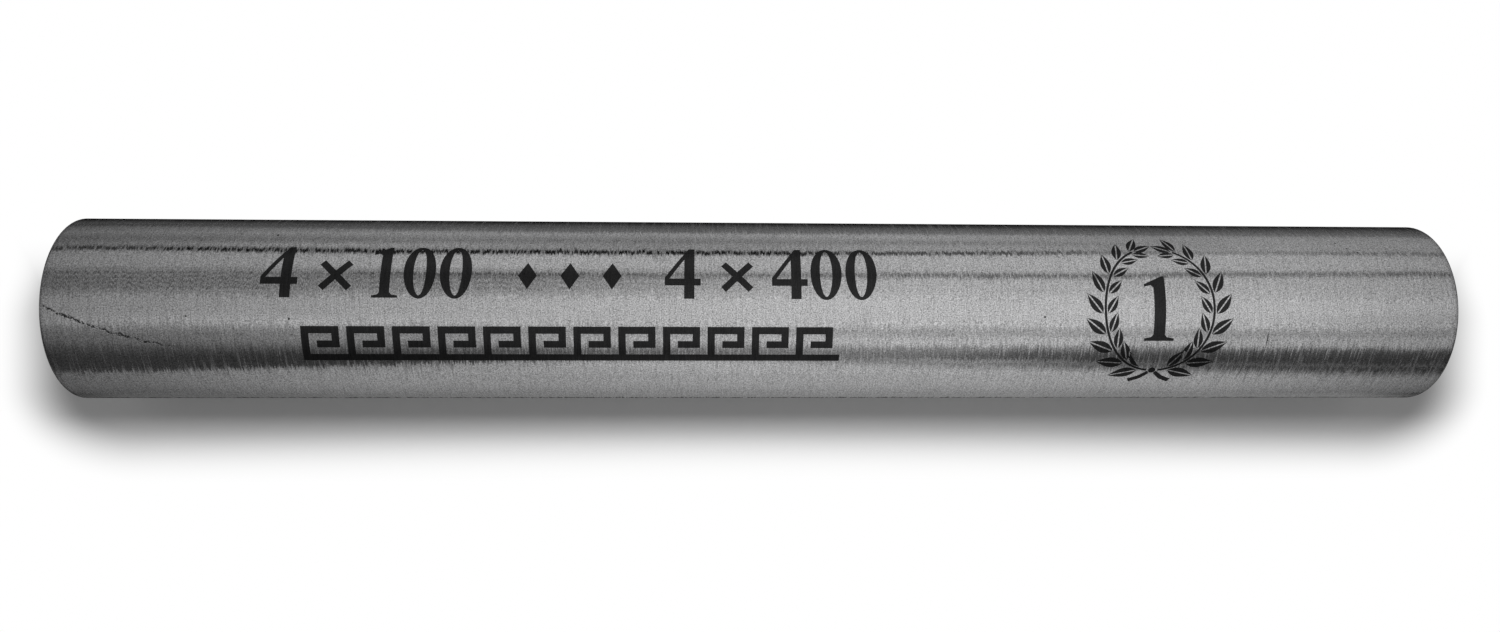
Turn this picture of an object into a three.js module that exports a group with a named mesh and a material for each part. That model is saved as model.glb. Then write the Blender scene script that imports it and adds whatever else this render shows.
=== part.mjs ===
// A relay baton: a smooth, hollow, round tube of brushed aluminium, made in one piece. It is cut
// square from drawn tube, and the sharp edges that the cut leaves are broken at both ends: the
// outer edge is rounded over for the hand that grasps it, the edge of the bore is chamfered.
//
// Millimetres, +Z up. The tube's axis is the X axis and the origin is the middle of the tube, on
// its axis. The baton lies on its side, on one of its narrow flats.

import * as THREE from "three";

// The tube that the baton is cut from, and the length it is cut to.
const outsideDiameter = 38.1;
const wall = 1.25;
const batonLength = 288;

// The broken edges of each end.
const outerEdgeRadius = 0.6;
const boreChamfer = 0.25;

// How finely the round surfaces are divided.
const sidesRoundTube = 96;
const stepsOfEdgeRadius = 6;

// Brushed aluminium, as a mid grey with a satin reflection.
const satinAluminium = new THREE.MeshStandardMaterial({
  name: "brushed_aluminium",
  color: new THREE.Color(0.42, 0.42, 0.424),
  roughness: 0.34,
  metalness: 1,
});

// One end of the wall in section, from the outside of the tube to its bore: the rounded outer
// edge, the flat land that the saw leaves, and the chamfer into the bore. Each point is
// (distance from the axis, distance along the axis from the tube's middle).
function endSection() {
  const outside = outsideDiameter / 2;
  const bore = outside - wall;
  const end = batonLength / 2;
  const section = [];
  for (let step = 0; step <= stepsOfEdgeRadius; step += 1) {
    const turn = ((step / stepsOfEdgeRadius) * Math.PI) / 2;
    section.push(
      new THREE.Vector2(
        outside - outerEdgeRadius * (1 - Math.cos(turn)),
        end - outerEdgeRadius * (1 - Math.sin(turn)),
      ),
    );
  }
  section.push(new THREE.Vector2(bore + boreChamfer, end));
  section.push(new THREE.Vector2(bore, end - boreChamfer));
  return section;
}

// The whole wall in section: one end, its mirror image at the other end, and back to the start.
function wallSection() {
  const rightEnd = endSection();
  const leftEnd = rightEnd
    .map((point) => new THREE.Vector2(point.x, -point.y))
    .reverse();
  return [...rightEnd, ...leftEnd, rightEnd[0].clone()];
}

// The tube is its wall's section turned about the axis. The turn starts half a side round, so
// that the baton lies on a flat and not on a corner between two.
function batonTube() {
  const halfSide = Math.PI / sidesRoundTube;
  const geometry = new THREE.LatheGeometry(
    wallSection(),
    sidesRoundTube,
    halfSide,
  );
  geometry.rotateZ(-Math.PI / 2);
  const tube = new THREE.Mesh(geometry, satinAluminium);
  tube.name = "baton_tube";
  return tube;
}

const relayBaton = new THREE.Group();
relayBaton.name = "relay_baton";
relayBaton.add(batonTube());

export default relayBaton;
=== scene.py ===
# %% [markdown]
# # A brushed aluminium relay baton
#
# A relay baton is one length of smooth round tube, open at both ends. This lesson dresses it: the
# fine round tube itself, the dark marks on it, the brushed finish, and the light that it was
# photographed in. The construction model is loaded first, and nothing is placed except by it.

# %% Load the construction model
import math

import bpy
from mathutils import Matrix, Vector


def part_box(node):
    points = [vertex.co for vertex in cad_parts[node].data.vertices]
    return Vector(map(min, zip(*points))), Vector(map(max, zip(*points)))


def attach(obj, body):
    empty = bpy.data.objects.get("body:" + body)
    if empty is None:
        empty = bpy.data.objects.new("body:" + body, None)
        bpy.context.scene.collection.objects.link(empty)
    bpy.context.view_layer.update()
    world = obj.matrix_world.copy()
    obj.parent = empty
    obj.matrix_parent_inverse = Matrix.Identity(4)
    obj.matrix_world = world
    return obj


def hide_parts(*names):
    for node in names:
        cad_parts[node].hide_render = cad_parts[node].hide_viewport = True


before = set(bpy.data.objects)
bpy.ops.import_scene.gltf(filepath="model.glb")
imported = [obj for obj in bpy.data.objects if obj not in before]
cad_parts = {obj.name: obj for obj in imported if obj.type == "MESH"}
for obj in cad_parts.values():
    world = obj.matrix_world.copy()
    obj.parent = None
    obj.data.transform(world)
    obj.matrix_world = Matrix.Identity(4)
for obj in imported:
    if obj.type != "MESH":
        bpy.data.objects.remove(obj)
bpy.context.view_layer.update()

tube_low, tube_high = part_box("baton_tube")
print("its tube from", tuple(tube_low), "to", tuple(tube_high))

# %% [markdown]
# ## Real sizes
#
# Everything is in metres, so one name holds a millimetre and sizes are written as a maker says
# them. The length comes from the construction model. The round sizes are given here, because a
# faceted tube measures a hair less across its flats than the true circle that it stands for.

# %% Sizes of the tube
mm = 0.001
half_length = tube_high.x
outside_radius = 19.05 * mm
wall = 1.25 * mm
bore_radius = outside_radius - wall
edge_radius = 0.6 * mm
bore_chamfer = 0.25 * mm
floor_height = -outside_radius
print(f"tube {2 * half_length / mm:.1f} mm long, {2 * outside_radius / mm:.1f} mm across")

# %% [markdown]
# ## The camera
#
# The photograph was taken from close by: both ends of the tube bulge outwards, because the camera
# sees them from inside, and the left end is a little nearer. A camera fitted to the outline
# stands 254 mm from the axis, straight above the tube, with a wide lens, and is turned a few
# degrees to the right. It is a plain perspective camera, with no shift and no depth of field.

# %% Camera
camera_along = -14.78 * mm
camera_height = 253.7 * mm
camera_lens = 27.89
camera_sensor = 36
camera_turn = math.radians(2.67)
camera_tip = math.radians(-0.28)
camera_roll = math.radians(0.18)

bpy.ops.object.select_all(action="DESELECT")
bpy.ops.object.camera_add(location=(camera_along, 0, camera_height))
camera = bpy.context.object
camera.name = "camera"
camera.rotation_mode = "ZXY"
camera.rotation_euler = (camera_tip, -camera_turn, camera_roll)
camera.data.lens = camera_lens
camera.data.sensor_width = camera_sensor
camera.data.clip_start = 1 * mm
bpy.context.scene.camera = camera
print("camera at", tuple(camera.location))

# %% [markdown]
# ## Selecting by place
#
# By hand, edges and faces are picked with the mouse. In a script they are picked by a question
# about their place, asked in edit mode. Everything is deselected first, because an operator acts
# on all that is selected.

# %% Helpers for selecting
def only(piece):
    """Makes one object the selected and active one."""
    bpy.ops.object.select_all(action="DESELECT")
    piece.select_set(True)
    bpy.context.view_layer.objects.active = piece


def middle_of_edge(mesh, edge):
    """The place halfway between an edge's two vertices."""
    first, second = edge.vertices
    return (mesh.vertices[first].co + mesh.vertices[second].co) / 2


def pick(piece, kind, question):
    """In edit mode, selects and counts what has its middle at a place that answers the question."""
    bpy.ops.mesh.select_mode(type=kind)
    bpy.ops.mesh.select_all(action="DESELECT")
    bpy.ops.object.mode_set(mode="OBJECT")
    mesh = piece.data
    if kind == "VERT":
        elements = [(vertex, vertex.co) for vertex in mesh.vertices]
    elif kind == "EDGE":
        elements = [(edge, middle_of_edge(mesh, edge)) for edge in mesh.edges]
    else:
        elements = [(face, face.center) for face in mesh.polygons]
    count = 0
    for element, place in elements:
        element.select = question(place)
        count += element.select
    bpy.ops.object.mode_set(mode="EDIT")
    return count

# %% [markdown]
# ## The tube: one section, spun
#
# The real baton is a length of drawn tube. It is sawn square, the outer edge is rounded over for
# the hand, and the sharp edge of the bore gets a small chamfer. A cylinder with a hole would
# lose those edges, and they catch the light at both ends. So the wall is drawn once in section,
# as a plate 288 mm long and 1.25 mm thick, its corners are bevelled, and it is spun round the axis.

# %% Draw the wall in section
steps_of_edge = 8
middle_of_wall = bore_radius + wall / 2
just_over_bore = bore_radius + wall / 10

bpy.ops.object.select_all(action="DESELECT")
bpy.ops.mesh.primitive_plane_add(
    size=1, location=(0, 0, middle_of_wall), rotation=(math.radians(90), 0, 0))
baton = bpy.context.object
baton.name = "baton"
baton.scale = (2 * half_length, wall, 1)
bpy.ops.object.transform_apply(location=True, rotation=True, scale=True)

bpy.ops.object.mode_set(mode="EDIT")
outer_corners = pick(baton, "VERT", lambda place: place.z > middle_of_wall)
bpy.ops.mesh.bevel(offset=edge_radius, segments=steps_of_edge, profile=0.5, affect="VERTICES")
bore_corners = pick(baton, "VERT", lambda place: place.z < just_over_bore)
bpy.ops.mesh.bevel(offset=bore_chamfer, segments=1, affect="VERTICES")
print("corners rounded:", outer_corners, "and chamfered:", bore_corners)

# %% Divide the long edges and spin the section
sides_round = 256
steps_along = 36
smooth_angle = math.radians(30)

pick(baton, "FACE", lambda place: True)
bpy.ops.mesh.delete(type="ONLY_FACE")
long_edges = pick(baton, "EDGE", lambda place: abs(place.x) < wall)
bpy.ops.mesh.subdivide(number_cuts=steps_along - 1)
bpy.ops.mesh.select_all(action="SELECT")
bpy.ops.mesh.spin(
    steps=sides_round, angle=math.tau, center=(0, 0, 0), axis=(1, 0, 0), use_auto_merge=True)
bpy.ops.mesh.select_all(action="SELECT")
bpy.ops.mesh.remove_doubles(threshold=0.001 * mm)
bpy.ops.mesh.normals_make_consistent(inside=False)
bpy.ops.object.mode_set(mode="OBJECT")
bpy.ops.object.shade_smooth_by_angle(angle=smooth_angle)
print("long edges divided:", long_edges)
print("baton:", len(baton.data.polygons), "faces, size", tuple(baton.dimensions / mm))

# %% [markdown]
# ## Drawing the marks flat
#
# A dark mark is burnt into such a tube by a laser: it has no thickness that the hand can feel.
# The marks here are plain ones. There are the two common relay distances in bold figures, a
# meander band below them and, near the right end, a laurel wreath round a figure one. Each is
# drawn as a flat outline in real millimetres, filled, and later laid round the tube. Outlines
# are used because a filled outline has crisp edges and true holes.

# %% Helpers for flat shapes
def flat_shape(name, outlines):
    """Fills closed outlines, lists of (x, y), into one flat mesh.

    An outline inside another is a hole."""
    curve = bpy.data.curves.new(name, "CURVE")
    curve.dimensions = "2D"
    curve.fill_mode = "FRONT"
    for outline in outlines:
        line = curve.splines.new("POLY")
        line.points.add(len(outline) - 1)
        for point, (x, y) in zip(line.points, outline):
            point.co = (x, y, 0, 1)
        line.use_cyclic_u = True
    shape = bpy.data.objects.new(name, curve)
    bpy.context.scene.collection.objects.link(shape)
    only(shape)
    bpy.ops.object.convert(target="MESH")
    return bpy.context.object


def moved(outline, across, up, size=1.0):
    """An outline scaled by size and then moved."""
    return [(across + x * size, up + y * size) for x, y in outline]


def oval(half_width, half_height, middle, points=56):
    """A closed oval round a middle."""
    turns = [math.tau * i / points for i in range(points)]
    round_zero = [(half_width * math.cos(turn), half_height * math.sin(turn)) for turn in turns]
    return moved(round_zero, *middle)

# %% [markdown]
# ## The figures
#
# Bold figures with thick stems and thin joins read well on a bright, streaky metal. Only four
# shapes are needed, drawn here one unit high: a one with a flag and a foot, a four with an open
# triangle, a nought made of two ovals, and a multiplication cross.

# %% Outlines of the figures
figure_one = [
    (0.03, 0.00), (0.49, 0.00), (0.49, 0.04), (0.38, 0.06), (0.345, 0.10), (0.345, 1.01),
    (0.30, 1.01), (0.02, 0.88), (0.02, 0.84), (0.12, 0.865), (0.165, 0.83), (0.165, 0.10),
    (0.13, 0.06), (0.03, 0.04),
]
figure_four = [
    (0.36, 0.00), (0.545, 0.00), (0.545, 0.245), (0.66, 0.245), (0.66, 0.375), (0.545, 0.375),
    (0.545, 1.01), (0.44, 1.01), (0.01, 0.39), (0.01, 0.245), (0.36, 0.245),
]
opening_of_four = [(0.095, 0.375), (0.36, 0.375), (0.36, 0.765)]
middle_of_nought = (0.30, 0.50)
figure_nought = [oval(0.285, 0.515, middle_of_nought), oval(0.112, 0.455, middle_of_nought)]
print("corners of the one, the four and the nought:",
      len(figure_one), len(figure_four), len(figure_nought[0]))

# %% The cross and a line of figures
cross_arm = 0.351
cross_half_stroke = 0.062


def times_cross(middle):
    """A multiplication cross: a twelve-cornered plus, turned by an eighth of a turn."""
    arm_corners = (
        (cross_half_stroke, cross_half_stroke), (cross_half_stroke, cross_arm),
        (-cross_half_stroke, cross_arm))
    cross = []
    for quarter in range(4):
        turn = math.tau * quarter / 4 + math.tau / 8
        for x, y in arm_corners:
            cross.append((middle[0] + x * math.cos(turn) - y * math.sin(turn),
                          middle[1] + x * math.sin(turn) + y * math.cos(turn)))
    return cross


advance = {"1": 0.56, "0": 0.64, "4": 0.70, "x": 0.72, " ": 0.26}
outlines_of = {
    "1": [figure_one], "0": figure_nought, "4": [figure_four, opening_of_four],
    "x": [times_cross((0.36, 0.42))], " ": [],
}


def line_of_figures(text, height):
    """The outlines of a line of figures from x = 0, and how long the line is."""
    outlines, along = [], 0.0
    for sign in text:
        for outline in outlines_of[sign]:
            outlines.append(moved(outline, along * height, 0, height))
        along += advance[sign]
    return outlines, along * height

# %% [markdown]
# ## Laying a flat shape round the tube
#
# A flat shape laid round a tube keeps its lengths along the axis, and its lengths across become
# arc. The shape is first cut into narrow strips, so that no face has to span a curve, then every
# corner is moved to its place on the circle. Solidify gives it the thickness of a burnt skin,
# half of it sunk in the metal, so that its edges are closed and it can never lift off.

# %% Helper that lays a shape round the tube
mark_thickness = 0.04 * mm
strip_width = 0.6 * mm


def lay_round_tube(shape, along, round_up):
    """Lays a flat shape on the top of the tube, its origin at (along, round_up)."""
    only(shape)
    reach = max(abs(v.co.y) for v in shape.data.vertices) + strip_width
    bpy.ops.object.mode_set(mode="EDIT")
    for strip in range(int(-reach / strip_width), int(reach / strip_width) + 1):
        bpy.ops.mesh.select_all(action="SELECT")
        bpy.ops.mesh.bisect(plane_co=(0, strip * strip_width, 0), plane_no=(0, 1, 0))
    bpy.ops.mesh.select_all(action="SELECT")
    bpy.ops.mesh.remove_doubles(threshold=0.005 * mm)
    bpy.ops.object.mode_set(mode="OBJECT")
    skin = outside_radius + mark_thickness / 2
    for vertex in shape.data.vertices:
        turn = (vertex.co.y + round_up) / outside_radius
        vertex.co = (vertex.co.x + along, skin * math.sin(turn), skin * math.cos(turn))
    shape.data.update()
    thickness = shape.modifiers.new("thickness", "SOLIDIFY")
    thickness.thickness = mark_thickness
    thickness.offset = -1
    bpy.ops.object.modifier_apply(modifier=thickness.name)
    bpy.ops.object.shade_smooth_by_angle(angle=smooth_angle)
    print(shape.name, "has", len(shape.data.polygons), "faces")

# %% Distances in figures
figure_height = 11.2 * mm
middle_of_lines = -39.4 * mm
foot_of_figures = 2.3 * mm
gap_between = 38.0 * mm
diamond = [(-1.9 * mm, 0), (0, -2.9 * mm), (1.9 * mm, 0), (0, 2.9 * mm)]
diamond_spacing = 8.5 * mm
diamond_up = figure_height * 0.42

figures, figures_length = line_of_figures("4 x 100", figure_height)
more_figures, more_length = line_of_figures("4 x 400", figure_height)
line_length = figures_length + gap_between + more_length
middle_of_gap = (figures_length - more_length) / 2
outlines = [moved(outline, -line_length / 2, 0) for outline in figures]
outlines += [moved(outline, line_length / 2 - more_length, 0) for outline in more_figures]
for step in (-1, 0, 1):
    outlines.append(moved(diamond, middle_of_gap + step * diamond_spacing, diamond_up))
distance_marks = flat_shape("distance_marks", outlines)
lay_round_tube(distance_marks, middle_of_lines, foot_of_figures)
print(f"line of figures {line_length / mm:.1f} mm long")

# %% [markdown]
# ## The meander band
#
# The meander, or Greek key, is an old border pattern that suits the sports ground. One hook of it
# is drawn on a grid of strokes, one unit wide, and the loop sets hooks side by side. Each hook has
# a corner where the next one's stroke meets it, so neighbours share their corners.

# %% Meander band
stroke = 1.5 * mm
hooks = 12
hook_width, hook_height = 6, 5
hook_outline = [
    (0, 0), (6, 0), (6, 1), (1, 1), (1, 4), (4, 4), (4, 3), (2, 3), (2, 2), (5, 2), (5, 5),
    (0, 5), (0, 1),
]
band_length = hooks * hook_width * stroke
top_of_band = -3.4 * mm
hook_shapes = []
for i in range(hooks):
    across = -band_length / 2 + i * hook_width * stroke
    outline = moved(hook_outline, across, -hook_height * stroke, stroke)
    hook_shapes.append(flat_shape(f"hook_{i}", [outline]))
bpy.ops.object.select_all(action="DESELECT")
for shape in hook_shapes:
    shape.select_set(True)
bpy.context.view_layer.objects.active = hook_shapes[0]
bpy.ops.object.join()
meander_mark = hook_shapes[0]
meander_mark.name = "meander_mark"
lay_round_tube(meander_mark, middle_of_lines, top_of_band)
print(f"meander band {band_length / mm:.1f} mm long")

# %% [markdown]
# ## The laurel wreath
#
# A victor's wreath has two branches that are tied together at the bottom and almost meet at the
# top. Each leaf is a pointed oval, split along its midrib so that a bright line of metal shows
# between its halves. The leaves stand in pairs, one on each side of a thin stem, and grow a
# little smaller towards the tip, where one last leaf ends the branch. No two outlines overlap,
# because an overlap would be filled as a hole.

# %% Sizes of the wreath
wreath_middle = (80.6 * mm, 0.6 * mm)
wreath_half_width = 11.4 * mm
wreath_half_height = 13.9 * mm
stem_half_width = 0.24 * mm
stem_start, stem_sweep, stem_steps = -84, 152, 40
pairs_on_branch = 9
first_pair, last_pair = math.radians(-74), math.radians(66)
tip_turn = math.radians(70)
leaf_length = 6.0 * mm
leaf_half_width = 1.3 * mm
leaf_lean = 0.60
leaf_off_stem = 0.55 * mm
leaf_steps = 12
midrib = 0.14 * mm
size_of_inner_leaf = 0.80
size_of_tip_leaf = 0.7
shrink_to_tip = 0.25
branch_end = [(0.9, -0.2), (2.6, -1.6), (4.6, -2.6), (4.1, -3.6), (2.0, -2.5), (0.5, -0.9)]
knot_radius = 0.75 * mm
print("leaves:", 2 * (2 * pairs_on_branch + 1))

# %% Helpers for a branch and its leaves
def branch(turn, side, off_stem=0.0):
    """A point of the branch and the heading towards its tip, at an angle from the middle."""
    across = math.cos(turn) * wreath_half_width
    up = math.sin(turn) * wreath_half_height
    heading = math.atan2(wreath_half_height * math.cos(turn), -wreath_half_width * math.sin(turn))
    point = (across + off_stem * math.sin(heading), up - off_stem * math.cos(heading))
    if side < 0:
        return (-point[0], point[1]), math.pi - heading
    return point, heading


def leaf(root, heading, size):
    """The two halves of a leaf, from its root along a heading, with its midrib left bare."""
    length, half_width = size * leaf_length, size * leaf_half_width
    shares = [step / leaf_steps for step in range(leaf_steps + 1)]
    edge = [(length * share, half_width * math.sin(math.pi * share ** 0.8)) for share in shares]
    rib = [(x, min(midrib, 0.4 * y)) for x, y in reversed(edge[1:-1])]
    cosine, sine = math.cos(heading), math.sin(heading)
    halves = []
    for hand in (1, -1):
        halves.append([
            (root[0] + x * cosine - hand * y * sine, root[1] + x * sine + hand * y * cosine)
            for x, y in edge + rib])
    return halves

# %% Laurel wreath
stem_turns = [
    math.radians(stem_start + stem_sweep * i / stem_steps) for i in range(stem_steps + 1)]
outlines = []
for side in (1, -1):
    outer_edge = [branch(turn, side, stem_half_width)[0] for turn in stem_turns]
    inner_edge = [branch(turn, side, -stem_half_width)[0] for turn in reversed(stem_turns)]
    outlines.append(outer_edge + inner_edge)
    for i in range(pairs_on_branch):
        share = i / (pairs_on_branch - 1)
        turn = first_pair + (last_pair - first_pair) * share
        shrunk = 1 - shrink_to_tip * share
        for outer, size in ((1, shrunk), (-1, shrunk * size_of_inner_leaf)):
            root, heading = branch(turn, side, outer * leaf_off_stem)
            outlines += leaf(root, heading - outer * side * leaf_lean, size)
    outlines += leaf(*branch(tip_turn, side), size_of_tip_leaf)
    outlines.append([(side * x * mm, y * mm - wreath_half_height) for x, y in branch_end])
outlines.append(oval(knot_radius, knot_radius, (0, -wreath_half_height), 24))
laurel_mark = flat_shape("laurel_mark", outlines)
lay_round_tube(laurel_mark, *wreath_middle)

# %% Figure inside the wreath
inner_height = 13.5 * mm
middle_of_one = 0.255
outline = moved(figure_one, -middle_of_one * inner_height, -inner_height / 2, inner_height)
wreath_figure = flat_shape("wreath_figure", [outline])
lay_round_tube(wreath_figure, *wreath_middle)

# %% [markdown]
# ## Shader maths as Python
#
# A procedural finish is a sum of many small patterns. Wiring it node by node hides the formula,
# so a small class wraps a socket and lets it be used in a Python expression. Numbers alone are
# still worked out by Python, and every other kind of node comes from one method.

# %% The wire class
class Wire:
    """A shader socket that can be added, multiplied and compared like a number."""

    def __init__(self, tree, socket=None):
        self.tree = tree
        self.socket = socket

    def node(self, kind, settings=None, sockets=None, output=0):
        """Adds a node with its settings and its sockets' values or links; gives one output."""
        made = self.tree.nodes.new(kind)
        for name, value in (settings or {}).items():
            setattr(made, name, value)
        for name, value in (sockets or {}).items():
            if isinstance(value, Wire):
                self.tree.links.new(value.socket, made.inputs[name])
            else:
                made.inputs[name].default_value = value
        return Wire(self.tree, made.outputs[output])

    def maths(self, operation, *values):
        return self.node("ShaderNodeMath", {"operation": operation}, dict(enumerate(values)))

    def __add__(self, other):
        return self.maths("ADD", self, other)

    def __sub__(self, other):
        return self.maths("SUBTRACT", self, other)

    def __rsub__(self, other):
        return self.maths("SUBTRACT", other, self)

    def __mul__(self, other):
        return self.maths("MULTIPLY", self, other)

    def __truediv__(self, other):
        return self.maths("DIVIDE", self, other)

    def __rtruediv__(self, other):
        return self.maths("DIVIDE", other, self)

    __radd__ = __add__
    __rmul__ = __mul__

    def __abs__(self):
        return self.maths("ABSOLUTE", self)

    def larger(self, other):
        return self.maths("MAXIMUM", self, other)

    def rise(self, start, end):
        """0 before start, 1 after end, and smooth between them."""
        return self.node(
            "ShaderNodeMapRange", {"interpolation_type": "SMOOTHSTEP"},
            {"Value": self, "From Min": start, "From Max": end})

    def bump(self, middle, half_width):
        """1 at the middle, falling smoothly to 0 at half_width on either side."""
        return 1 - abs(self - middle).rise(0, half_width)

# %% Helpers for materials
def new_material(name):
    """A node material with nothing in it, and a wire to start from."""
    material = bpy.data.materials.new(name)
    material.use_nodes = True
    material.node_tree.nodes.clear()
    return material, Wire(material.node_tree)


def connect(wire, kind, socket):
    """Joins a finished shader to a new output node."""
    output = wire.tree.nodes.new(kind)
    wire.tree.links.new(wire.socket, output.inputs[socket])


def scaled(vector, factor):
    """A vector or a colour times a number."""
    return vector.node(
        "ShaderNodeVectorMath", {"operation": "SCALE"}, {"Vector": vector, "Scale": factor})


def vector_sum(first, second):
    """Two vectors added up."""
    return first.node("ShaderNodeVectorMath", {"operation": "ADD"}, {0: first, 1: second})


def toned(start, colour, tone):
    """A colour that a varying tone makes lighter or darker."""
    return scaled(start.node("ShaderNodeCombineXYZ", {}, dict(enumerate(colour))), tone)

# %% [markdown]
# ## Patterns that run round or along the tube
#
# All patterns read the object's own coordinates. A pattern that is fine along X and coarse in Y
# and Z makes hairlines that run round the tube, with no seam anywhere, and one that is coarse
# along X makes lines that run along it. Each pattern has its own seed, so no two fall together.

# %% Helpers for patterns
def place_on_tube(wire):
    """The object's coordinates, as a vector and as x, y and z."""
    point = wire.node("ShaderNodeTexCoord", output="Object")
    parts = [point.node("ShaderNodeSeparateXYZ", {}, {"Vector": point}, output=i) for i in range(3)]
    return (point, *parts)


def streaks(point, along, around, seed, detail=1.0, upright=None):
    """Noise about 0, from -0.5 to 0.5, whose grains are so long along the tube and round it."""
    stretched = point.node(
        "ShaderNodeVectorMath", {"operation": "MULTIPLY"},
        {0: point, 1: (1 / along, 1 / around, 1 / (upright or around))})
    return point.node(
        "ShaderNodeTexNoise", {"noise_dimensions": "4D"},
        {"Vector": stretched, "W": seed, "Scale": 1.0, "Detail": detail, "Roughness": 0.55}) - 0.5

# %% [markdown]
# ## Brushed aluminium
#
# The tube is finished on a lathe or a belt, so its hairlines run round it. Each hairline leans a
# hair's breadth differently from its neighbours, so the edge of every reflection breaks into
# ragged teeth. That lean could be pressed into the mesh, but it would need millions of faces. It
# is made as a small turn of the normal about the axis, steady along a hairline and different in
# the next, with bundles of hairlines and a fine speckle added to it.

# %% Hairlines that lean
def leaning_normal(start, point, share):
    """The surface normal, leant round the axis by hairlines, their bundles and a fine speckle."""
    hairline_lean = streaks(point, along=0.30 * mm, around=8.0 * mm, seed=1.0)
    bundle_lean = streaks(point, along=0.45 * mm, around=5.0 * mm, seed=2.0)
    speckle_lean = streaks(point, along=0.30 * mm, around=0.30 * mm, seed=3.0)
    lean = hairline_lean * 0.20 + bundle_lean * 0.11 + speckle_lean * 0.08
    normal = start.node("ShaderNodeNewGeometry", output="Normal")
    around = start.node(
        "ShaderNodeVectorMath", {"operation": "CROSS_PRODUCT"}, {0: (1, 0, 0), 1: normal})
    leant = vector_sum(normal, scaled(around, lean * share))
    return leant.node("ShaderNodeVectorMath", {"operation": "NORMALIZE"}, {0: leant})

# %% [markdown]
# ## Wear
#
# A baton is dropped and laid on cinders. This one has a long dotted scratch near its left end, a
# short fine one near the right end and a few pits. They are too shallow to model, so they are
# masks for the bump and the colour. Their places are given along the tube and round it from the
# top, in millimetres, and the third number of a pit is its radius. The long scratch is a gently
# bent line through one point, given by its slope and its bend.

# %% Scratches and pits
pits = [
    (-115.5, -1.5, 0.16), (-100.2, 17.4, 0.24), (-95.5, -2.0, 0.20), (56.6, -1.2, 0.20),
    (121.2, 16.8, 0.20), (123.0, 14.9, 0.17), (124.9, 13.7, 0.22), (128.3, 13.4, 0.14),
]
scratch_along, scratch_arc = -134.5, -3.25
scratch_slope, scratch_bend = 0.385, 0.0058
hairline_along, hairline_arc, hairline_slope = 103.65, -5.6, 0.08


def wear(point, along, arc):
    """1 in a scratch or a pit, 0 on sound metal."""
    wander = streaks(point, along=2.2 * mm, around=2.2 * mm, seed=11.0)
    dots = streaks(point, along=0.42 * mm, around=0.42 * mm, seed=12.0).rise(-0.10, 0.06)
    run = along - scratch_along
    sideways = run * scratch_slope - run * run * scratch_bend
    off_line = abs(arc - scratch_arc + sideways + wander * 1.6)
    in_reach = along.rise(-143.8, -142.6) * (1 - along.rise(-124, -116))
    long_scratch = (1 - off_line.rise(0.12, 0.34)) * dots * in_reach
    leans_by = (arc - hairline_arc) * hairline_slope
    off_hairline = abs(along - hairline_along - leans_by + wander * 1.2)
    short_scratch = (1 - off_hairline.rise(0.04, 0.17)) * arc.bump(hairline_arc, 2.6)
    worn = long_scratch.larger(short_scratch)
    for pit_along, pit_arc, pit_radius in pits:
        off_along, off_arc = along - pit_along, arc - pit_arc
        squared = off_along * off_along + off_arc * off_arc
        worn = worn.larger(1 - squared.rise(0.3 * pit_radius ** 2, 1.7 * pit_radius ** 2))
    return worn

# %% [markdown]
# ## Zones of the tube
#
# Outside, inside and cut face are one piece of metal with three finishes. The bore keeps the dull
# oxide and the lengthwise lines of the drawing die. Its colour is painted darker deep inside, as
# painted shade, and lighter towards its two mouths, as painted light. The faces that the saw cuts
# are bare and bright, and show the saw's lines. The belt bit less on the rear side, so the
# hairlines lean less there and its rough streaks are fainter. Three materials on three sets of
# faces would do it too, but they would meet in hard edges. Masks tell the zones apart instead, so
# that one material does for the whole tube and the zones run into each other.
#
# The patterns swing about 0. So 1 + grain * 2.4 is the plain tone with grain on it, and the number
# beside a pattern says how strongly it shows.

# %% Masks for the zones
metal_grey = (0.42, 0.42, 0.424)
brushed_aluminium, start = new_material("brushed_aluminium")
point, x, y, z = place_on_tube(start)
from_axis = start.maths("SQRT", y * y + z * z)
in_bore = 1 - from_axis.rise(bore_radius + 0.02 * mm, bore_radius + 0.14 * mm)
# Painted light: this mask makes the bore's colour lighter towards its two mouths.
mouth_light = abs(x).rise(half_length - 26 * mm, half_length - 1 * mm)
on_cut = abs(x).rise(half_length - 0.06 * mm, half_length - 0.02 * mm)
# Painted shade: this mask darkens the outside within 1.6 mm of both ends.
shaded_end = abs(x).rise(half_length - 1.6 * mm, half_length)
bite = 1 - 0.50 * y.rise(4 * mm, 9 * mm)
arc = start.maths("ARCTAN2", y, z) * (outside_radius / mm)
worn = wear(point, x / mm, arc)
print("nodes for the zones and the wear:", len(brushed_aluminium.node_tree.nodes))

# %% Relief of the metal
groove_depth = 0.004 * mm
draw_line_depth = 0.014 * mm
saw_line_depth = 0.010 * mm
wear_depth = 0.05 * mm
grooves = streaks(point, along=0.20 * mm, around=9.0 * mm, seed=4.0)
draw_lines = streaks(point, along=40 * mm, around=0.35 * mm, seed=13.0)
saw_lines = streaks(point, along=8 * mm, around=0.12 * mm, seed=14.0, upright=8 * mm)
height = (
    grooves * (1 - in_bore) * groove_depth + draw_lines * in_bore * draw_line_depth
    + saw_lines * on_cut * saw_line_depth - worn * wear_depth)
normal = leaning_normal(start, point, (1 - in_bore) * (1 - on_cut) * bite)
relief = start.node(
    "ShaderNodeBump", {},
    {"Strength": 1.0, "Distance": 1.0, "Height": height, "Normal": normal})
print(f"grooves {groove_depth / mm * 1000:.0f} micrometres deep")

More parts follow.
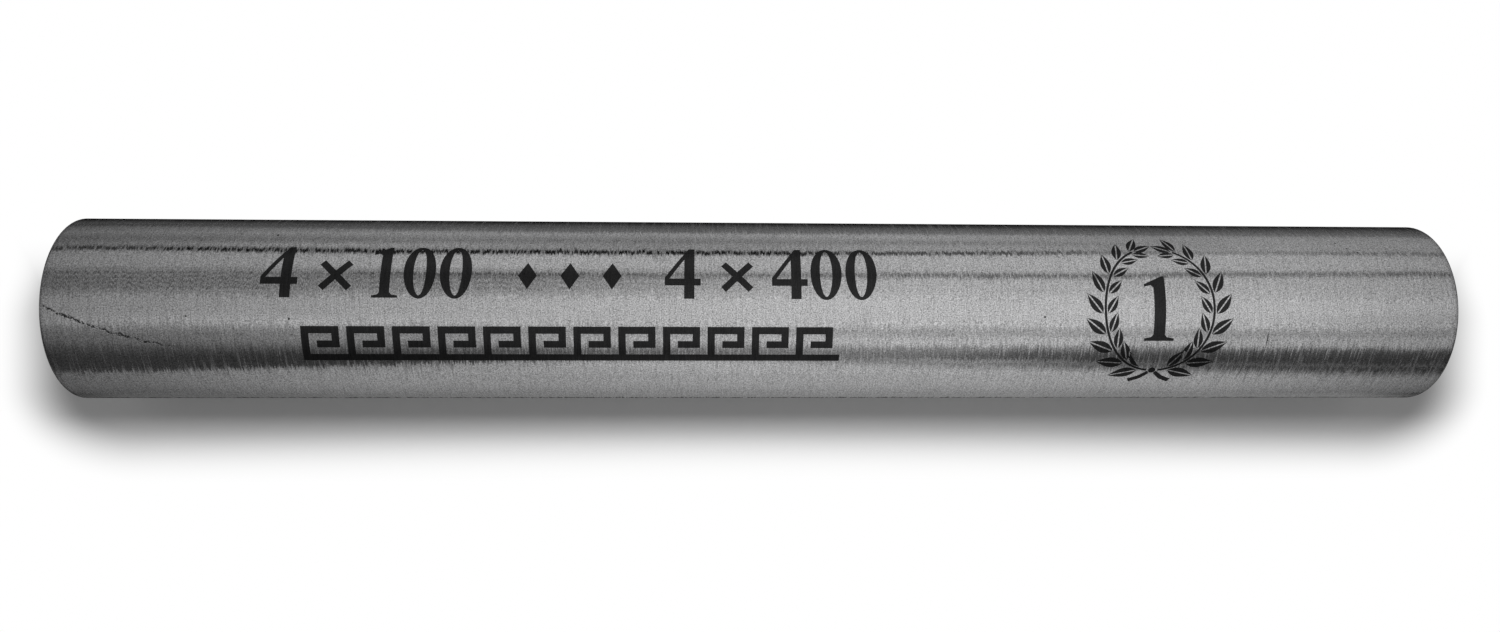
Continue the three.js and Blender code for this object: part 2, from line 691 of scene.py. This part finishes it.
# %% Tone of the metal
grain = streaks(point, along=0.25 * mm, around=0.25 * mm, seed=5.0)
hairlines = streaks(point, along=0.19 * mm, around=4.0 * mm, seed=6.0)
clouds = streaks(point, along=16 * mm, around=11 * mm, seed=7.0, detail=2.0)
# The outside tone is painted darker near both ends, as painted shade at the rounded edges.
outside_tone = (1 + grain * 2.4 + hairlines * 0.5 + clouds * 0.10) * (1 - 0.4 * shaded_end)
# Painted shade: the bore's colour is darker deep inside, and painted light makes it lighter towards
# the mouths; the draw lines and clouds are its own tone.
bore_lines_and_shade = (1.1 + draw_lines * 1.6 + clouds * 0.5) * (0.38 + 0.97 * mouth_light)
whole_tone = outside_tone + (bore_lines_and_shade - outside_tone) * in_bore
worn_tone = 1 - 0.85 * worn * (1 - in_bore)
cut_tone = 1 + on_cut * (2.3 + saw_lines)
colour = toned(start, metal_grey, whole_tone * worn_tone * cut_tone)
print("nodes with the relief and the tone:", len(brushed_aluminium.node_tree.nodes))

# %% Roughness and the finished metal
rough_streaks = streaks(point, along=0.44 * mm, around=8.0 * mm, seed=8.0).rise(-0.03, 0.18)
streak_roughness = 0.29 * (0.3 + 0.7 * bite) * (1 - in_bore)
roughness = (
    0.10 + rough_streaks * streak_roughness + clouds * 0.05
    + worn * 0.4 + in_bore * 0.35 + on_cut * 0.2)
shader = start.node(
    "ShaderNodeBsdfPrincipled", {},
    {"Base Color": colour, "Metallic": 1 - 0.6 * in_bore, "Roughness": roughness,
     "Normal": relief, "Specular Tint": (0.45, 0.45, 0.45, 1)})
connect(shader, "ShaderNodeOutputMaterial", "Surface")
baton.data.materials.append(brushed_aluminium)
print("finish:", brushed_aluminium.name, "with", len(brushed_aluminium.node_tree.nodes), "nodes")

# %% [markdown]
# ## Burnt marks
#
# The laser leaves a thin dark oxide on the metal. It is nearly black, but it is still a skin on
# brushed metal, so a little of the same banded light shows in it. It gets the same hairlines as
# the tube, from the same seeds, so that they run on unbroken under the marks.

# %% Dark marks
oxide_grey = (0.024, 0.024, 0.0245)
burnt_mark, start = new_material("burnt_mark")
point, x, y, z = place_on_tube(start)
hairlines = streaks(point, along=0.19 * mm, around=4.0 * mm, seed=6.0)
grain = streaks(point, along=0.25 * mm, around=0.25 * mm, seed=5.0)
colour = toned(start, oxide_grey, 1 + hairlines * 0.8 + grain * 1.2)
shader = start.node(
    "ShaderNodeBsdfPrincipled", {},
    {"Base Color": colour, "Metallic": 0.8, "Roughness": 0.3 + hairlines * 0.2,
     "Normal": leaning_normal(start, point, 1.0), "Specular IOR Level": 0.25,
     "Specular Tint": (0.2, 0.2, 0.2, 1)})
connect(shader, "ShaderNodeOutputMaterial", "Surface")
marks = [distance_marks, meander_mark, laurel_mark, wreath_figure]
for mark in marks:
    mark.data.materials.append(burnt_mark)
print("marks in", burnt_mark.name + ":", len(marks))

# %% [markdown]
# ## Riding on the frame
#
# The fine tube stands for the construction model's faceted one, and the marks go with it.

# %% Ride and replace
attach(baton, "root")
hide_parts("baton_tube")
for mark in marks:
    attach(mark, "root")
print("riding on the root:", baton.name, [mark.name for mark in marks])

# %% [markdown]
# ## The floor
#
# The baton lies on white paper. Its shadow falls towards the viewer, spreads a little past both
# ends and fades out within the width of a thumb. A brighter lamp would whiten the paper, but the
# metal with it. So the paper keeps its shadow only near the tube, and further out a mask turns it
# to full white for what looks at it. The mask is a rectangle with round corners, laid round the
# shadow.

# %% Mask round the shadow
shadow_middle = 1.5 * mm
shadow_half_length = 143 * mm
shadow_narrowing = 4 * mm
shadow_front = -17 * mm
reach_past_ends = 33 * mm
reach_in_front = 23.5 * mm


def direct_rays(wire):
    """1 for camera, glossy and transmission rays, 0 for the rays that carry soft light."""
    camera_ray, glossy_ray, transmission_ray = [
        wire.node("ShaderNodeLightPath", output=name)
        for name in ("Is Camera Ray", "Is Glossy Ray", "Is Transmission Ray")]
    return camera_ray.larger(glossy_ray.larger(transmission_ray))


def outside_shadow(x, y):
    """0 where the paper keeps its shadow, 1 where it is full white."""
    beyond_end = abs(x - shadow_middle) + shadow_narrowing * y.rise(-3 * mm, 14 * mm)
    past_ends = (beyond_end - shadow_half_length).larger(0) / reach_past_ends
    in_front = (shadow_front - y).larger(0) / reach_in_front
    distance = x.maths("SQRT", past_ends * past_ends + in_front * in_front)
    return distance.rise(0.46, 1).larger(y.rise(-9 * mm, 17 * mm))

# %% Floor
floor_radius = 3000 * mm
bpy.ops.object.select_all(action="DESELECT")
bpy.ops.mesh.primitive_circle_add(
    vertices=96, radius=floor_radius, fill_type="NGON", location=(0, 0, floor_height))
floor = bpy.context.object
floor.name = "floor"
bpy.ops.object.transform_apply(location=True, rotation=True, scale=True)

paper_white = (0.9, 0.9, 0.9)
material, start = new_material("white_paper")
point, x, y, z = place_on_tube(start)
fibres = streaks(point, along=1.5 * mm, around=1.5 * mm, seed=9.0, detail=2.0)
paper = toned(start, paper_white, 1 + fibres * 0.02)
lit_paper = start.node(
    "ShaderNodeBsdfPrincipled", {},
    {"Base Color": paper, "Roughness": 1.0, "Specular IOR Level": 0.0})
white_paper = start.node("ShaderNodeEmission", {}, {"Strength": 1.0})
full_white = outside_shadow(x, y) * direct_rays(start)
shader = start.node("ShaderNodeMixShader", {}, {0: full_white, 1: lit_paper, 2: white_paper})
connect(shader, "ShaderNodeOutputMaterial", "Surface")
floor.data.materials.append(material)
print("floor", tuple(floor.dimensions), "at height", floor_height)

# %% [markdown]
# ## The key light and the room
#
# One soft oval light hangs close above the tube and a little behind it. It is as large as a palm,
# so the shadow's edge is wide. Its strength doesn't fall with distance, which keeps the shadow
# even from end to end. Reflections don't see it, because the bands of light come from the sleeve
# that is built next. The room adds a weak grey light from all round, and is white to look at.

# %% Key light
key_along = -20 * mm
key_lean = math.radians(19.3)
key_distance = 175 * mm
key_size_along = 50 * mm
key_size_across = 76 * mm
key_power = 8.55
key_up = key_distance * math.cos(key_lean)
key_behind = key_distance * math.sin(key_lean)

bpy.ops.object.select_all(action="DESELECT")
bpy.ops.object.light_add(
    type="AREA", location=(key_along, key_behind, key_up), rotation=(-key_lean, 0, 0))
key_light = bpy.context.object
key_light.name = "key_light"
key_light.data.shape = "ELLIPSE"
key_light.data.size = key_size_along
key_light.data.size_y = key_size_across
key_light.data.energy = key_power
key_light.data.use_nodes = True
key_light.data.node_tree.nodes.clear()
start = Wire(key_light.data.node_tree)
even_strength = start.node("ShaderNodeLightFalloff", {}, {"Strength": 1.0}, output="Constant")
shader = start.node("ShaderNodeEmission", {}, {"Strength": even_strength})
connect(shader, "ShaderNodeOutputLight", "Surface")
key_light.visible_glossy = False
key_light.visible_camera = False
print("key light at", tuple(key_light.location))

# %% Room
room_level = 0.222
world = bpy.data.worlds.new("studio")
bpy.context.scene.world = world
world.use_nodes = True
world.node_tree.nodes.clear()
start = Wire(world.node_tree)
sky_level = direct_rays(start) * (1 - room_level) + room_level
background = start.node("ShaderNodeBackground", {}, {"Color": sky_level, "Strength": 1.0})
connect(background, "ShaderNodeOutputWorld", "Surface")
print("room light at a level of", room_level)

# %% [markdown]
# ## The light sleeve
#
# Polished and brushed tubes show nothing but what stands round them. A product photographer puts
# a sleeve of diffusing paper round such a tube and darkens or lights parts of it, and that is
# what draws the long bands along this baton. Painting the bands on the tube would freeze them
# there, so they are made in the sleeve, which only reflections see.
#
# Two numbers say where a thing stands on the sleeve. Angles are counted in degrees round the axis
# from straight up, to the rear in one half and to the front in the other. Places along it are in
# millimetres from the middle, to the right. A glance that the tube throws back travels outwards,
# so a place on the sleeve shows a little nearer to the middle on the tube.

# %% Helpers for what only reflections see
def for_reflections_only(piece):
    """Hides a piece from everything but reflections."""
    for ray in ("camera", "diffuse", "shadow", "transmission", "volume_scatter"):
        setattr(piece, "visible_" + ray, False)


def make_glow(piece, material, level):
    """Gives a piece its material, which glows at a level and lights nothing by itself."""
    shader = level.node("ShaderNodeEmission", {}, {"Color": level, "Strength": 1.0})
    connect(shader, "ShaderNodeOutputMaterial", "Surface")
    material.cycles.emission_sampling = "NONE"
    piece.data.materials.append(material)


brightest_along = 41
slow_fall = 207


def overhead_light(along, peak):
    """Light that is brightest right of the middle and falls off slowly to both ends."""
    offset = (along - brightest_along) / slow_fall
    return peak * along.maths("EXPONENT", 0 - offset * offset)

# %% Light sleeve
sleeve_radius = 45 * mm
sleeve_length = 900 * mm
pleat_width = 5.0
bpy.ops.object.select_all(action="DESELECT")
bpy.ops.mesh.primitive_cylinder_add(
    vertices=128, radius=sleeve_radius, depth=sleeve_length, end_fill_type="NOTHING",
    rotation=(0, math.radians(90), 0))
sleeve = bpy.context.object
sleeve.name = "light_sleeve"
bpy.ops.object.transform_apply(location=True, rotation=True, scale=True)
for_reflections_only(sleeve)

diffusing_paper, start = new_material("diffusing_paper")
point, x, y, z = place_on_tube(start)
along = x / mm
rear_angle = start.maths("ARCTAN2", y, z) * (180 / math.pi)
front_angle = 0 - rear_angle
pleats = start.maths("SINE", rear_angle * (math.tau / pleat_width))
uneven = 1 + 0.07 * along.bump(124, 34) + 0.05 * (1 - along.rise(-150, -100))
overhead = overhead_light(along, 1.07) * uneven
print("sleeve", tuple(sleeve.dimensions / mm), "mm")

# %% [markdown]
# ### The rear half
#
# From the top down hang a soft flag, which shades most at the left and has pleats there, and a
# panel. A gap between two panels shows as a soft dark line along the tube, and the joint below
# it, held edge to edge, as a thin and nearly black one. Both lines wander a little, because paper
# never hangs quite true. Each thing is one factor, 1 where it does nothing, and the half is the
# product of them all. The number in front says how much light it takes or gives at most, and its
# rises and bumps say between which angles or places.

# %% Rear half: flag, panel, gap and joint
left_half = 1 - along.rise(-60, 30)
in_top_flag = rear_angle.rise(8, 23) * (1 - rear_angle.rise(35, 46))
top_flag = 1 - (0.17 + 0.30 * left_half * (1 + 0.9 * pleats)) * in_top_flag
rear_panel = 1 - (0.07 + 0.14 * along.rise(-80, 0)) * rear_angle.rise(30, 44)

gap_wander = (
    3.2 * along.rise(75, 108) + 1.3 * along.rise(130, 158) - 1.3 * (1 - along.rise(-10, 40)))
gap_depth = (
    0.56 * along.rise(-125, -65) + 0.12 * along.rise(0, 35)
    - 0.11 * along.rise(80, 108) + 0.08 * along.rise(135, 158))
rear_gap = 1 - gap_depth * (rear_angle - gap_wander).bump(36.6, 5.2)

joint_wander = 2.7 * (1 - along.rise(-150, -80)) + 4.0 * along.rise(0, 120)
joint_depth = (
    1 - 0.15 * along.rise(0, 40) - 0.62 * along.rise(50, 115)
    + 0.22 * along.rise(108, 138) - 0.16 * (1 - along.rise(-150, -128)))
joint_width = 4.5 - 0.6 * (1 - along.rise(-150, -100)) - 0.7 * along.rise(0, 40)
off_joint = abs(rear_angle - joint_wander - 62.8)
rear_joint = 1 - joint_depth * (1 - off_joint.rise(1.4, joint_width))

# %% Rear half: low parts and the whole
far_left = 1 - along.rise(-150, -40)
low_depth = (
    0.31 + 0.07 * along.bump(-35, 70) - 0.03 * along.bump(46, 50) - 0.10 * along.rise(90, 135))
low_panel = 1 - low_depth * rear_angle.rise(62, 68)
low_flag = 1 - 0.26 * rear_angle.bump(80.5, 8) * (1 - along.rise(60, 120))
low_streak = 1 + 0.38 * rear_angle.bump(71.5, 3.5) * along.bump(-105, 60)
low_right = 1 + 0.14 * along.rise(138, 158) * rear_angle.rise(72, 80)
bright_seam = 1 + 0.22 * rear_angle.bump(93, 5.5) * (1 - along.rise(20, 80))
table_edge = 1 - 0.42 * (rear_angle - 8 * far_left).rise(95.5, 100.5)
table_shade = 1 - 0.38 * (rear_angle - 3 * far_left).rise(102, 118)
rear_half = (
    top_flag * rear_panel * rear_gap * rear_joint * low_panel * low_flag * low_streak
    * low_right * bright_seam * table_edge * table_shade)
print("nodes with the rear half:", len(diffusing_paper.node_tree.nodes))

# %% [markdown]
# ### The front half
#
# Near the top is a shallow joint with a glow over its left part. Two strips of dark cloth, one
# over the other, darken the light in two steps and make the dark band low on the tube. Below them
# stands a white card, and two flags in front of it have slanting edges, so that the dark band
# tapers. The left part and the right part are each dimmed a little more, and the paper has two
# soft folds at the far left.

# %% Front half: joint, glow and dimmed parts
joint_angle = front_angle - 0.6 * along.rise(60, 120)
in_top_joint = joint_angle.rise(14.6, 18.8) * (1 - front_angle.rise(24.6, 27.2))
top_joint = 1 - (0.29 + 0.05 * along.bump(50, 45)) * in_top_joint
glow_height = 0.17 * along.bump(-108, 80) - 0.06 * along.bump(127, 26)
glow = 1 + glow_height * front_angle.rise(3, 9) * (1 - front_angle.rise(15, 19))

left_depth = (0.47 - 0.37 * along.rise(-125, -15)) * (1 - 0.2 * pleats)
left_dim = 1 - left_depth * front_angle.rise(17, 28)
undimmed_below = 1 + (1 / left_dim - 1) * front_angle.rise(60, 72)
low_but_not_right = front_angle.rise(66, 76) * (1 - along.rise(100, 140))
right_dim = 1 - 0.16 * along.rise(60, 115) * front_angle.rise(15, 25) * (1 - low_but_not_right)
at_the_top = front_angle.rise(-2, 3) * (1 - front_angle.rise(16, 24))
right_top_dim = 1 - 0.13 * along.rise(122, 150) * at_the_top
right_low_dim = 1 - 0.15 * along.rise(140, 165) * front_angle.rise(62, 72)
dimmed = left_dim * undimmed_below * right_dim * right_top_dim * right_low_dim

# %% Front half: steps, card and flags
step_angle = front_angle - 1.3 * along.rise(75, 125) - 1.4 * along.rise(140, 160)
first_depth = 0.50 * along.rise(0, 40) + 0.16 * along.rise(60, 105) - 0.05 * along.rise(135, 160)
second_depth = (
    0.66 - 0.34 * along.rise(0, 40) + 0.18 * along.rise(30, 75) - 0.09 * along.rise(120, 155))
first_step = first_depth * step_angle.rise(34, 39)
second_step = second_depth * front_angle.rise(29 + 9 * along.rise(0, 40), 44)
steps = (1 - first_step) * (1 - second_step * (1 + 0.2 * pleats))

left_flag = (52.8 - (along + 41.5) * 0.166 - front_angle).rise(-1.7, 1.7)
right_flag = (57.8 + (along - 15) * 0.103 - front_angle).rise(-9, 8)
flags = left_flag.larger(right_flag * along.rise(-20, 50))
seam_angle = front_angle - 0.057 * (along - 52)
seam_height = (1.5 + 1.2 * along.bump(62, 28)) * along.rise(20, 45)
flag_seam = 1 + seam_height * seam_angle.bump(54.5, 3.5)
plain_flag = 0.38 - 0.215 * along.rise(30, 75) - 0.14 * along.bump(-90, 75)
flag_level = plain_flag * (1 - 0.30 * front_angle.rise(44, 51)) * flag_seam
card = flag_level + (1 - flag_level) * front_angle.rise(43, 60) * (1 - flags)
is_card = front_angle.rise(42.9, 43.1)
steps_or_card = steps * (1 - is_card) + card * is_card

# %% Front half: low parts, folds and the whole
low_front = 1 - 0.30 * front_angle.rise(56, 76)
low_left = 1 - 0.14 * (1 - along.rise(-150, -105)) * front_angle.rise(60, 72)
low_glow = 1 + 0.12 * along.bump(-100, 50) * front_angle.rise(64, 80)
table_front = 1 - 0.05 * front_angle.rise(85, 113)
bright_fold = 0.16 * (1 - along.rise(-100, -60)) * front_angle.bump(23.8, 3.4)
dark_fold = 0.12 * (1 - along.rise(-140, -115)) * front_angle.bump(28.3, 3.6)
folds = 1 + bright_fold - dark_fold
front_joint = 1 - 0.5 * front_angle.bump(42.5, 4.5) * along.bump(-45, 75)
front_half = (
    top_joint * glow * dimmed * low_front * low_left * low_glow * table_front
    * folds * front_joint * steps_or_card)
print("nodes with both halves:", len(diffusing_paper.node_tree.nodes))

# %% Whole sleeve
is_rear = rear_angle.rise(-1, 1)
level = overhead * (is_rear * rear_half + (1 - is_rear) * front_half)
make_glow(sleeve, diffusing_paper, level)
print("sleeve finished:", sleeve.name)

# %% [markdown]
# ## Cards on the table
#
# White paper beside the tube would draw a light outline along its lower edges. Dark cards that lie
# on the table on both sides keep it out, and only reflections see them. The cards glow at set
# levels, so they put painted shade and painted light into the tube's reflections. They are black
# beside the tube, as painted shade. The front card glows bright from 29 mm outwards, in the same
# overhead pool as the sleeve, as painted light, and the rear one glows dark grey at its far edge.

# %% Dark cards on the table
cards_width = 81 * mm
cards_past_ends = 65 * mm
card_thickness = 0.1 * mm
bpy.ops.object.select_all(action="DESELECT")
bpy.ops.mesh.primitive_plane_add(size=1, location=(0, 0, floor_height + card_thickness))
cards = bpy.context.object
cards.name = "table_cards"
cards.scale = (2 * half_length + 2 * cards_past_ends, cards_width, 1)
bpy.ops.object.transform_apply(location=True, rotation=True, scale=True)
for_reflections_only(cards)

dark_card, start = new_material("dark_card")
point, x, y, z = place_on_tube(start)
# Painted light: the front card glows after the overhead pool. Beside the tube both cards are black,
# as painted shade.
front_card = overhead_light(x / mm, 0.80) * (0 - y).rise(23 * mm, 29 * mm)
rear_card = 0.20 * y.rise(23 * mm, 41 * mm)
beside_tube = 1 - abs(x).rise(half_length, half_length + 30 * mm)
is_front = y.rise(1 * mm, -1 * mm) * beside_tube
make_glow(cards, dark_card, rear_card + (front_card - rear_card) * is_front)
print("cards", tuple(cards.dimensions / mm), "mm")

# %% [markdown]
# ## Colour management
#
# The plain view transform shows a colour as it is written.

# %% View transform
bpy.context.scene.view_settings.view_transform = "Standard"
